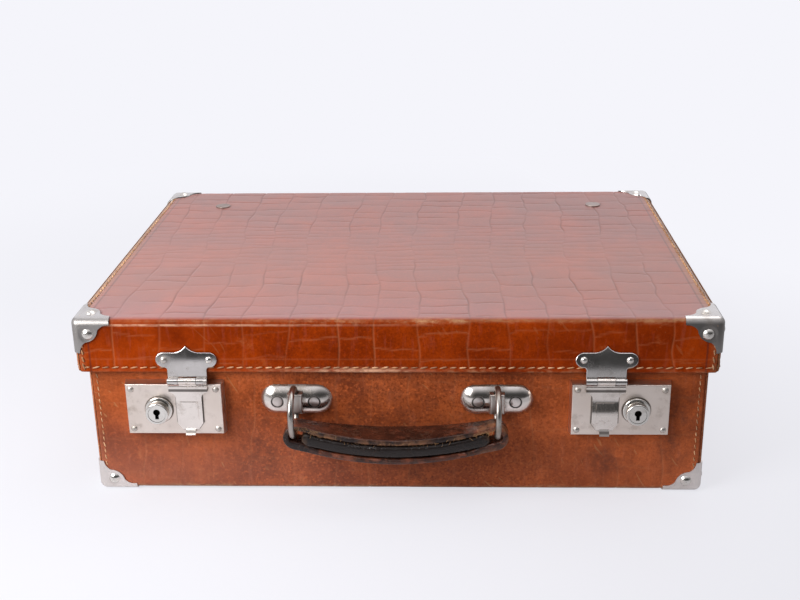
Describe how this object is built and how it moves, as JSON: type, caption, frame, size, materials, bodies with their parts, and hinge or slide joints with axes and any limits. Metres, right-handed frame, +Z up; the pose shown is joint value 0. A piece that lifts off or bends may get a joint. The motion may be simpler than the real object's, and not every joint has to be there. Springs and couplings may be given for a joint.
{
  "type": "vanity case",
  "caption": "Small hard leather case with an overlapping hinged lid, metal corner caps, locking hasps and a swinging carrying handle.",
  "frame": {"origin": "on the floor under the middle of the case, in the plane of the base corner caps", "axes": "+X along the front to the right, the front faces -Y, +Z up"},
  "size_m": [0.3882, 0.3138, 0.119],
  "materials": {
    "lid_leather": "embossed, polished, worn edges",
    "base_leather": "embossed, scuffed",
    "handle_leather": "worn, cracked",
    "handle_filler": "dyed edge",
    "board": "pressed millboard",
    "lining": "cotton cloth",
    "nickel": "nickel plate, worn",
    "key_boss": "nickel plate, worn",
    "steel": "plain"
  },
  "bodies": {
    "base": {"base_front_board": "board", "base_rear_board": "board", "base_left_board": "board", "base_right_board": "board", "base_bottom_board": "board", "base_leather_wrap": "base_leather", "base_leather_left": "base_leather", "base_leather_right": "base_leather", "base_lining": "lining", "base_cap_front_left": "nickel", "base_cap_front_right": "nickel", "base_cap_rear_left": "nickel", "base_cap_rear_right": "nickel", "base_cap_nails": "nickel", "left_lock_case": "nickel", "right_lock_case": "nickel", "left_lock_barrel": "key_boss", "right_lock_barrel": "key_boss", "lock_rivets": "nickel", "left_handle_plate": "nickel", "right_handle_plate": "nickel", "handle_plate_rivets": "nickel", "left_hinge_leaf": "nickel", "right_hinge_leaf": "nickel", "hinge_leaf_rivets": "nickel", "hinge_pins": "steel"},
    "lid": {"lid_front_board": "board", "lid_rear_board": "board", "lid_left_board": "board", "lid_right_board": "board", "lid_top_board": "board", "lid_leather_wrap": "lid_leather", "lid_leather_left": "lid_leather", "lid_leather_right": "lid_leather", "lid_lining": "lining", "lid_cap_front_left": "nickel", "lid_cap_front_right": "nickel", "lid_cap_rear_left": "nickel", "lid_cap_rear_right": "nickel", "lid_cap_nails": "nickel", "left_hinge_strap": "nickel", "right_hinge_strap": "nickel", "hinge_strap_rivets": "nickel", "lid_top_rivets": "nickel", "left_hasp_plate": "nickel", "right_hasp_plate": "nickel", "hasp_plate_rivets": "nickel", "hasp_pins": "steel"},
    "handle": {"handle_strap": "handle_leather", "handle_filler": "handle_filler", "left_handle_ring": "nickel", "right_handle_ring": "nickel"},
    "left_hasp": {"left_hasp_flap": "nickel", "left_hasp_staple": "steel"},
    "left_core": {"left_lock_core": "key_boss"},
    "left_bolt": {"left_lock_bolt": "steel"},
    "right_hasp": {"right_hasp_flap": "nickel", "right_hasp_staple": "steel"},
    "right_core": {"right_lock_core": "key_boss"},
    "right_bolt": {"right_lock_bolt": "steel"}
  },
  "joints": [
    {"name": "lid_hinge", "type": "hinge", "parent": "base", "child": "lid", "pos_m": [0, 0.1393, 0.0788], "axis": [-1, 0, 0], "range_deg": [0, 105]},
    {"name": "handle_swing", "type": "hinge", "parent": "base", "child": "handle", "pos_m": [0, -0.1534, 0.0616], "axis": [-1, 0, 0], "range_deg": [-5, 165]},
    {"name": "left_hasp_swing", "type": "hinge", "parent": "lid", "child": "left_hasp", "pos_m": [-0.12465, -0.1442, 0.0774], "axis": [-1, 0, 0], "range_deg": [0, 160]},
    {"name": "left_key_turn", "type": "hinge", "parent": "base", "child": "left_core", "pos_m": [-0.14335, -0.145, 0.0583], "axis": [0, 1, 0], "range_deg": [0, 90]},
    {"name": "left_bolt_slide", "type": "slide", "parent": "base", "child": "left_bolt", "axis": [1, 0, 0], "range_m": [0, 0.00453]},
    {"name": "right_hasp_swing", "type": "hinge", "parent": "lid", "child": "right_hasp", "pos_m": [0.12465, -0.1442, 0.0774], "axis": [-1, 0, 0], "range_deg": [0, 160]},
    {"name": "right_key_turn", "type": "hinge", "parent": "base", "child": "right_core", "pos_m": [0.14335, -0.145, 0.0583], "axis": [0, -1, 0], "range_deg": [0, 90]},
    {"name": "right_bolt_slide", "type": "slide", "parent": "base", "child": "right_bolt", "axis": [-1, 0, 0], "range_m": [0, 0.00453]}
  ],
  "couplings": [
    {"joint": "left_bolt_slide", "follows": "left_key_turn", "m_per_rad": 0.002881},
    {"joint": "right_bolt_slide", "follows": "right_key_turn", "m_per_rad": 0.002881}
  ]
}
